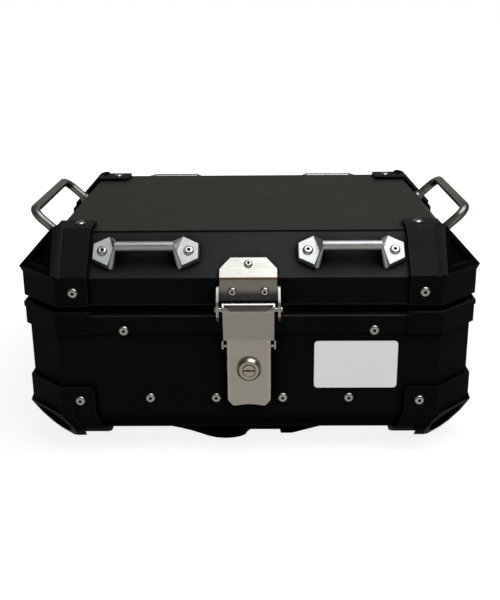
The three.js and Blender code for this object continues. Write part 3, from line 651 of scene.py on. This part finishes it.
latch = [(Vector((0, -175.5, 200)) + Vector((0, -ny, nz)) * 2.3, Vector((0, -ny, nz)))] + [((x, -188, 176.7), (0, -1, 0)) for x in (-15.9, 15.9)]
screw_set("latch_screws", latch, "lid", "latch_fixing", 7.65, r=4.4)
bracket("latch_backing", "latch_fixing", latch, 4.5, "lid", r=5.2)
bolts = [((x, y, 24.1), (0, 0, 1)) for x in (-60, 60) for y in (-92, 92)]
screw_set("mount_bolts", bolts, "base", "mount_fixing", None, r=5.9, end=17.5)
bracket("mount_backing", "mount_fixing", [((x, y, 24.05), n) for (x, y, _), n in bolts] , 0.0, "base", r=6.6)


# ------------------------------------------------------------------ tie-down cleats
def cleat_mesh():
    parts = []
    ring = lambda u, r=5.0, w=15.0, n=36: [(u, r * math.cos(2 * math.pi * i / n), w + r * math.sin(2 * math.pi * i / n)) for i in range(n)]
    for s in (-1, 1):
        foot = [(53.15, -9), (53.15, 9), (36.65, 17.3), (30.65, 0), (36.65, -17.3)]
        pts = [(s * u, v, 0.3) for u, v in foot] + [(s * (u - 1.2 if u > 50 else u), v * 0.95, 6.3) for u, v in foot]
        parts.append(hull(pts, 0.55, 3, 18))
        for t in (-1, 1):
            web = [(s * 36.65, t * 16.4, 6.2), (s * 30.65, 0, 6.2), (s * 36.65, t * 17.2, 0.6), (s * 34.2, t * 18.2, 0.6), (s * 31.6, t * 17, 0.8), (s * 30, t * 12, 1.2), (s * 30.65, 0, 1.5)]
            parts.append(hull([*web, *ring(s * 28)], 0.45, 2, 30))
    parts.append(cylinder((-28.6, 0, 15), (28.6, 0, 15), 5.0, 36))
    return joined(parts)


proto = cleat_mesh()
for sx, sy, q in QUADS:
    N, X = Vector((0, sy * ny, nz)), Vector((1, 0, 0))
    Y = N.cross(X)
    O = Vector((sx * 101.35, sy * 166.15, 209.1))
    M = Matrix((X, Y, N)).transposed().to_4x4()
    M.translation = O
    bm = bmesh.new()
    bm.from_mesh(proto.data)
    bmesh.ops.transform(bm, matrix=M, verts=bm.verts[:])
    place(bm, "cleat_bar_" + q, [ALLOY], "lid", "satin_alloy", ["cleat_" + q], sharp=32)
bpy.data.objects.remove(proto)


# ------------------------------------------------------------------ side handle bars
def sweep(bm, pts, r, side, segs=28, cap=True):
    rings = []
    for i, c in enumerate(pts):
        t = (pts[min(i + 1, len(pts) - 1)] - pts[max(i - 1, 0)]).normalized()
        a = t.cross(side).normalized()
        b = t.cross(a).normalized()
        rings.append([bm.verts.new(c + a * (r * math.cos(2 * math.pi * k / segs)) + b * (r * math.sin(2 * math.pi * k / segs))) for k in range(segs)])
    for a, b in zip(rings, rings[1:]):
        quad_rings(bm, a, b)
    if cap:
        bm.faces.new(rings[0])
        bm.faces.new(rings[-1][::-1])


for sx, nm in ((-1, "left"), (1, "right")):
    n = Vector((sx * mx, 0, mz))
    o = Vector((sx * 206, 0, 228 - 37.8 * 13.5 / 34.8))
    at = lambda w, y: o + n * w + Vector((0, y - 6, 0))
    path = [(0.7, -84), (4, -84), (9, -84), (14, -84)] + [(19 + 14 * math.sin(a), -70 - 14 * math.cos(a)) for a in [math.radians(6 * k) for k in range(16)]]
    path += [(33, -52), (33, -35), (33, -18), (33, 0)]
    path = path + [(w, -y) for w, y in path[-2::-1]]
    bm = bmesh.new()
    sweep(bm, [at(w, y) for w, y in path], 4.9, Vector((mz, 0, -sx * mx)))
    for y in (-84, 84):
        lathe(bm, at(0, y), n, [(0, 0.3), (6.2, 0.3), (6.4, 0.5), (6.4, 1.6), (6.3, 2.0), (5.95, 2.5), (5.5, 3.1), (5.2, 3.6), (5.02, 4.3), (0, 4.3)], 36)
        lathe(bm, at(0, y), -n, [(0, -1), (3, -1), (3, 9.4), (2.4, 9.9), (0, 9.9)], 20)
        for h0, h1, rad in ((5.45, 8.9, 4.6),):
            vs = []
            for h, f in ((h0, 1), (h1 - 0.4, 1), (h1, 0.9)):
                vs.append([bm.verts.new(at(0, y) - n * h + (basis(n)[0] * math.cos(a) + basis(n)[1] * math.sin(a)) * rad * f) for a in [math.pi / 3 * k for k in range(6)]])
            quad_rings(bm, vs[0], vs[1])
            quad_rings(bm, vs[1], vs[2])
            bm.faces.new(vs[0])
            bm.faces.new(vs[2][::-1])
    place(bm, "side_bar_" + nm, [BAR], "lid", "grey_bar", ["side_handle_" + nm], sharp=40)


# ------------------------------------------------------------------ hasp: lower plate, leaning upper plate, roll with its lip and recess
PY, PZ, LOCK = -196.0, 160.5, 97.0
front = lambda x, z, y: (x, y, z)


def polar(x, a, r):
    return (x, PY - r * math.cos(math.radians(a)), PZ + r * math.sin(math.radians(a)))


half = [(25.4, 127.9), (25.4, 127.3), (25.2, 126.95), (22.3, 126.8), (21.85, 126.6), (21.7, 126.2), (21.7, 64.4), (21.55, 62.9), (21.1, 61.8), (17.6, 57.6), (16.5, 56.7), (15.0, 56.25), (12.0, 56.5), (9.0, 57.1), (4.0, 57.6)]
outline = half + [(0, 57.8)] + [(-x, z) for x, z in half[::-1]]
lower = prism(outline, -190.5, -192.5, front, 0.75, 3)
upper = hull([(x, y, z) for x in (-25.4, 25.4) for y, z in ((-201.3, 159.04), (-199.37, 159.57), (-192.55, 127.3), (-190.55, 127.3))], 0.55, 3)
roll = cylinder((-25.4, PY, PZ), (25.4, PY, PZ), 5.5, 72)
bevel_sharp(roll, 0.5, 2, 60)
lip = hull([polar(x, a, r) for x in (-26.4, 26.4) for a, r in ((66, 4.6), (66, 6.9), (76, 7.0), (86, 7.05), (96, 7.0), (106, 6.8), (114, 4.6))], 1.1, 4)
cheeks = [hull([polar(s * x, a, r) for x in (24.2, 26.0) for a, r in ((70, 4.4), (70, 6.8), (40, 6.3), (12, 5.6), (8, 4.2), (40, 4.2))], 0.5, 2) for s in (-1, 1)]
plate = joined([lower, upper, roll, lip, *cheeks])
rec = hull([polar(s * x, a, r) for s in (-1, 1) for x, a in ((24.3, 64), (23.9, 50), (23.0, 36), (21.6, 22), (19.6, 10), (16.5, 1)) for r in (4.15, 9)])
plate = boolean(plate, temp(rec), "DIFFERENCE")
bore = cylinder((-30, PY, PZ), (30, PY, PZ), 2.8, 32)
plate = boolean(plate, temp(bore), "DIFFERENCE")
plate = boolean(plate, temp(cylinder((0, -186, LOCK), (0, -200, LOCK), 6.45, 40)), "DIFFERENCE")
bm = take(plate)
# faces inside the roll's recess take the dark recess steel: painted shade with oxide
for f in bm.faces:
    c = f.calc_center_median()
    rad, ang = math.hypot(c.y - PY, c.z - PZ), math.degrees(math.atan2(c.z - PZ, PY - c.y))
    if 3.4 < rad < 5.42 and -1 < ang < 66 and abs(c.x) < 24.4:
        f.material_index = 1
place(bm, "hasp_lever", [LEVER, RECESS], "hasp", "latch_steel", ["hasp_plate"], sharp=30)

# lock rosette, plug and cam
bm = bmesh.new()
lathe(bm, (0, -192.6, LOCK), (0, -1, 0), [(6.4, 0), (12.0, 0), (12.25, 0.3), (12.25, 2.9), (12.15, 3.25), (11.9, 3.5), (10.6, 4.75), (10.1, 5.35), (9.9, 5.6), (9.6, 5.75), (9.2, 5.8), (7.5, 5.8), (7.35, 5.72), (7.25, 5.5), (7.15, 5.45), (6.6, 5.45), (6.4, 5.3)], 64, loop=True)
place(bm, "lock_rosette", [CHROME], "hasp", "lock_metal", ["lock_housing"], sharp=50)
plug = bmesh.new()
lathe(plug, (0, 0, 0), (0, -1, 0), [(0, 0), (5.9, 0), (6.0, 0.1), (6.0, 10.45), (5.85, 10.7), (5.6, 10.8), (0, 10.8)], 48)
bmesh.ops.translate(plug, vec=(0, -188.1, LOCK), verts=plug.verts[:])
plug = temp(plug)


def block(x0, x1, y0, y1, z0, z1, bevel=0.0, segs=2):
    return hull([(x, y, z) for x in (x0, x1) for y in (y0, y1) for z in (z0, z1)], bevel, segs)


plug = boolean(plug, temp(block(-7, 7, -200, -198.15, LOCK - 0.85, LOCK + 0.85)), "DIFFERENCE")
plug = boolean(plug, temp(hull([(x, y, z) for x in (-5.2, 5.2) for y in (-200, -198.55) for z in (LOCK + 0.8, LOCK + 2.2)] + [(x, y, LOCK + 5.0) for x in (-2.4, 2.4) for y in (-200, -198.55)])), "DIFFERENCE")
plug = boolean(plug, temp(block(-3.6, 3.6, -200, -193.5, LOCK - 0.5, LOCK + 0.55)), "DIFFERENCE")
plug = boolean(plug, temp(cylinder((-1.3, -200, LOCK + 0.5), (-1.3, -194, LOCK + 0.5), 1.05, 20)), "DIFFERENCE")
bm = take(plug)
bm.normal_update()
for f in bm.faces:
    c = f.calc_center_median()
    if c.y > -198.2 and abs(c.x) < 3.7 and abs(c.z - LOCK) < 1.7 and c.y < -193.2:
        f.material_index = 1
place(bm, "lock_core", [CHROME, KEYWAY], "lock", "lock_metal", ["lock_plug"], sharp=35)
bm = bmesh.new()
lathe(bm, (0, -185.9, LOCK), (0, -1, 0), [(0, 0), (6.7, 0), (7.0, 0.3), (7.0, 1.6), (6.7, 1.9), (0, 1.9)], 36)
arm = hull([(x, y, z) for y in (-187.8, -185.9) for x, z in ((-3.5, LOCK), (3.5, LOCK), (-3.5, LOCK - 14.2), (3.5, LOCK - 14.2), (-2.6, LOCK - 16.3), (2.6, LOCK - 16.3), (-1.2, LOCK - 17), (1.2, LOCK - 17))], 0.35, 2, 40)
merge(bm, arm)
merge(bm, prism([(2.9 * math.cos(math.pi / 3 * k), LOCK + 2.9 * math.sin(math.pi / 3 * k)) for k in range(6)], -185.95, -184.9, front, 0.25, 2))
place(bm, "lock_tongue", [STEEL], "lock", "latch_steel", ["lock_cam"], sharp=35)


# ------------------------------------------------------------------ label, hinge rivets
r, a, b = 4.0, 42.0, 25.4
pts = []
for cx, cz, q in ((a - r, b - r, 0), (-a + r, b - r, 90), (-a + r, -b + r, 180), (a - r, -b + r, 270)):
    pts += [(107.5 + cx + r * math.cos(math.radians(q + t)), 97.6 + cz + r * math.sin(math.radians(q + t))) for t in range(0, 91, 9)]
place(prism(pts, -183.25, -184.4, front, 0.3, 2), "label_card", [LABEL], "base", "label", ["label_plate"], sharp=35)

for s, nm in ((-1, "left"), (1, "right")):
    for body, y0, spots in (("lid", 188.0, [(-21, 177.5), (0, 180.0), (21, 177.5)]), ("base", 187.1, [(-21, 143), (21, 143), (-21, 127.5), (0, 127.5), (21, 127.5)])):
        bm = bmesh.new()
        for x, z in spots:
            lathe(bm, (s * 80 + x, y0 - 1.0, z), (0, 1, 0), [(0, 0), (3.1, 0), (3.25, 1.0), (3.2, 1.35), (2.9, 1.8), (2.2, 2.2), (1.3, 2.42), (1.15, 2.35), (0.9, 2.0), (0, 1.95)], 24)
        place(bm, f"hinge_rivets_{body}_{nm}", [SCREW], body, "stainless_screws", sharp=60)


# ------------------------------------------------------------------ camera, floor, light
e, yaw, roll_ = math.radians(18.617), math.radians(-0.887), math.radians(-0.527)
fw = Vector((math.sin(yaw) * math.cos(e), math.cos(yaw) * math.cos(e), -math.sin(e)))
rt = Vector((math.cos(yaw), -math.sin(yaw), 0))
up = rt.cross(fw)
right = rt * math.cos(roll_) + up * math.sin(roll_)
up2 = -rt * math.sin(roll_) + up * math.cos(roll_)
cam = bpy.data.objects.new("camera", bpy.data.cameras.new("camera"))
scene.collection.objects.link(cam)
cam.data.sensor_width, cam.data.sensor_fit, cam.data.lens = 36.0, "AUTO", 53.93
cam.data.clip_start, cam.data.clip_end = 0.02, 60
M = Matrix((right, up2, -fw)).transposed().to_4x4()
M.translation = Vector((0.0145, -1.0237, 0.4495))
cam.matrix_world = M
scene.camera = cam

bm = bmesh.new()
bmesh.ops.create_circle(bm, cap_ends=True, segments=96, radius=14)
me = bpy.data.meshes.new("floor")
bm.to_mesh(me)
bm.free()
floor = bpy.data.objects.new("floor", me)
scene.collection.objects.link(floor)
m = Mat("floor_paper")
x, y, z = m.xyz()
dist = m.add("ShaderNodeVectorMath")
dist.operation = "LENGTH"
m.put(dist.inputs[0], m.obj)
paper = m.noise(700, 2, 0.5)
m.set(color=m.mix(paper, (0.84, 0.84, 0.84), (0.88, 0.88, 0.88)), rough=0.9, spec=0.05)
em = m.add("ShaderNodeEmission")
em.inputs["Color"].default_value = (1, 1, 1, 1)
em.inputs["Strength"].default_value = 1.28
mx_ = m.add("ShaderNodeMixShader")
m.put(mx_.inputs[0], m.remap(dist.outputs["Value"], 0.30, 0.85, 0.66, 1, smooth=True))
m.t.links.new(m.b.outputs[0], mx_.inputs[1])
m.t.links.new(em.outputs[0], mx_.inputs[2])
m.t.links.new(mx_.outputs[0], m.out.inputs[0])
me.materials.append(m.m)
floor.visible_glossy = False
floor.visible_diffuse = False

world = bpy.data.worlds.new("studio")
scene.world = world
world.use_nodes = True
t = world.node_tree
t.nodes.clear()
out = t.nodes.new("ShaderNodeOutputWorld")
bg = t.nodes.new("ShaderNodeBackground")
white = t.nodes.new("ShaderNodeBackground")
white.inputs[0].default_value = (1, 1, 1, 1)
mixw = t.nodes.new("ShaderNodeMixShader")
lp = t.nodes.new("ShaderNodeLightPath")
tc = t.nodes.new("ShaderNodeTexCoord")
sep = t.nodes.new("ShaderNodeSeparateXYZ")
mr = t.nodes.new("ShaderNodeMapRange")
mr.inputs[1].default_value = -1.0
t.links.new(tc.outputs["Generated"], sep.inputs[0])
t.links.new(sep.outputs[2], mr.inputs[0])


def sky(stops):
    n = t.nodes.new("ShaderNodeValToRGB")
    el = n.color_ramp.elements
    while len(el) < len(stops):
        el.new(0.5)
    for k, (zz, c) in enumerate(stops):
        el[k].position = (zz + 1) / 2
        el[k].color = (*c, 1)
    t.links.new(mr.outputs[0], n.inputs[0])
    return n.outputs[0]


front_back = sky([(-1.0, (0.06, 0.058, 0.054)), (-0.88, (0.44, 0.424, 0.396)), (-0.44, (0.53, 0.51, 0.477)), (-0.30, (0.56, 0.54, 0.505)), (-0.15, (0.50, 0.482, 0.446)), (0.0, (0.33, 0.318, 0.29)),
                  (0.30, (0.25, 0.245, 0.215)), (0.43, (0.19, 0.187, 0.17)), (0.55, (0.08, 0.08, 0.078)), (0.80, (0.10, 0.105, 0.11)), (1.0, (0.24, 0.255, 0.27))])
sides = sky([(-1.0, (0.02, 0.02, 0.02)), (-0.6, (0.12, 0.118, 0.11)), (-0.3, (0.24, 0.235, 0.22)), (0.0, (0.14, 0.137, 0.128)), (0.25, (0.07, 0.07, 0.066)), (0.6, (0.05, 0.05, 0.05)), (0.85, (0.10, 0.105, 0.11)), (1.0, (0.24, 0.255, 0.27))])


def wmath(op, a, b):
    n = t.nodes.new("ShaderNodeMath")
    n.operation = op
    for sock, v in zip(n.inputs, (a, b)):
        if isinstance(v, bpy.types.NodeSocket):
            t.links.new(v, sock)
        else:
            sock.default_value = v
    return n.outputs[0]


xx, yy = wmath("MULTIPLY", sep.outputs[0], sep.outputs[0]), wmath("MULTIPLY", sep.outputs[1], sep.outputs[1])
along = wmath("DIVIDE", yy, wmath("ADD", wmath("ADD", xx, yy), 0.0005))
both = t.nodes.new("ShaderNodeMix")
both.data_type = "RGBA"
t.links.new(along, both.inputs[0])
t.links.new(sides, both.inputs[6])
t.links.new(front_back, both.inputs[7])
t.links.new(both.outputs[2], bg.inputs[0])
bg.inputs[1].default_value = 1.15
t.links.new(lp.outputs["Is Camera Ray"], mixw.inputs[0])
t.links.new(bg.outputs[0], mixw.inputs[1])
t.links.new(white.outputs[0], mixw.inputs[2])
t.links.new(mixw.outputs[0], out.inputs[0])


def area(name, where, aim, sx, sy, watts, color):
    d = bpy.data.lights.new(name, "AREA")
    d.shape, d.size, d.size_y, d.energy, d.color = "RECTANGLE", sx, sy, watts, color
    o = bpy.data.objects.new(name, d)
    scene.collection.objects.link(o)
    o.location = where
    o.rotation_mode = "QUATERNION"
    o.rotation_quaternion = (Vector(aim) - Vector(where)).to_track_quat("-Z", "Y")
    return o


area("overhead_soft", (0.52, -0.42, 1.6), (0.05, -0.1, 0.1), 1.4, 1.5, 19.0, (0.96, 0.98, 1.0))

# wide frontal softbox: lights paint and paper, stays out of the reflections
fill = area("front_fill", (0.0, -1.75, 0.55), (0.0, -0.1, 0.12), 1.8, 1.3, 10.0, (0.98, 0.99, 1.0))
fill.visible_glossy = False
fill.visible_camera = False

scene.view_settings.view_transform = "Standard"
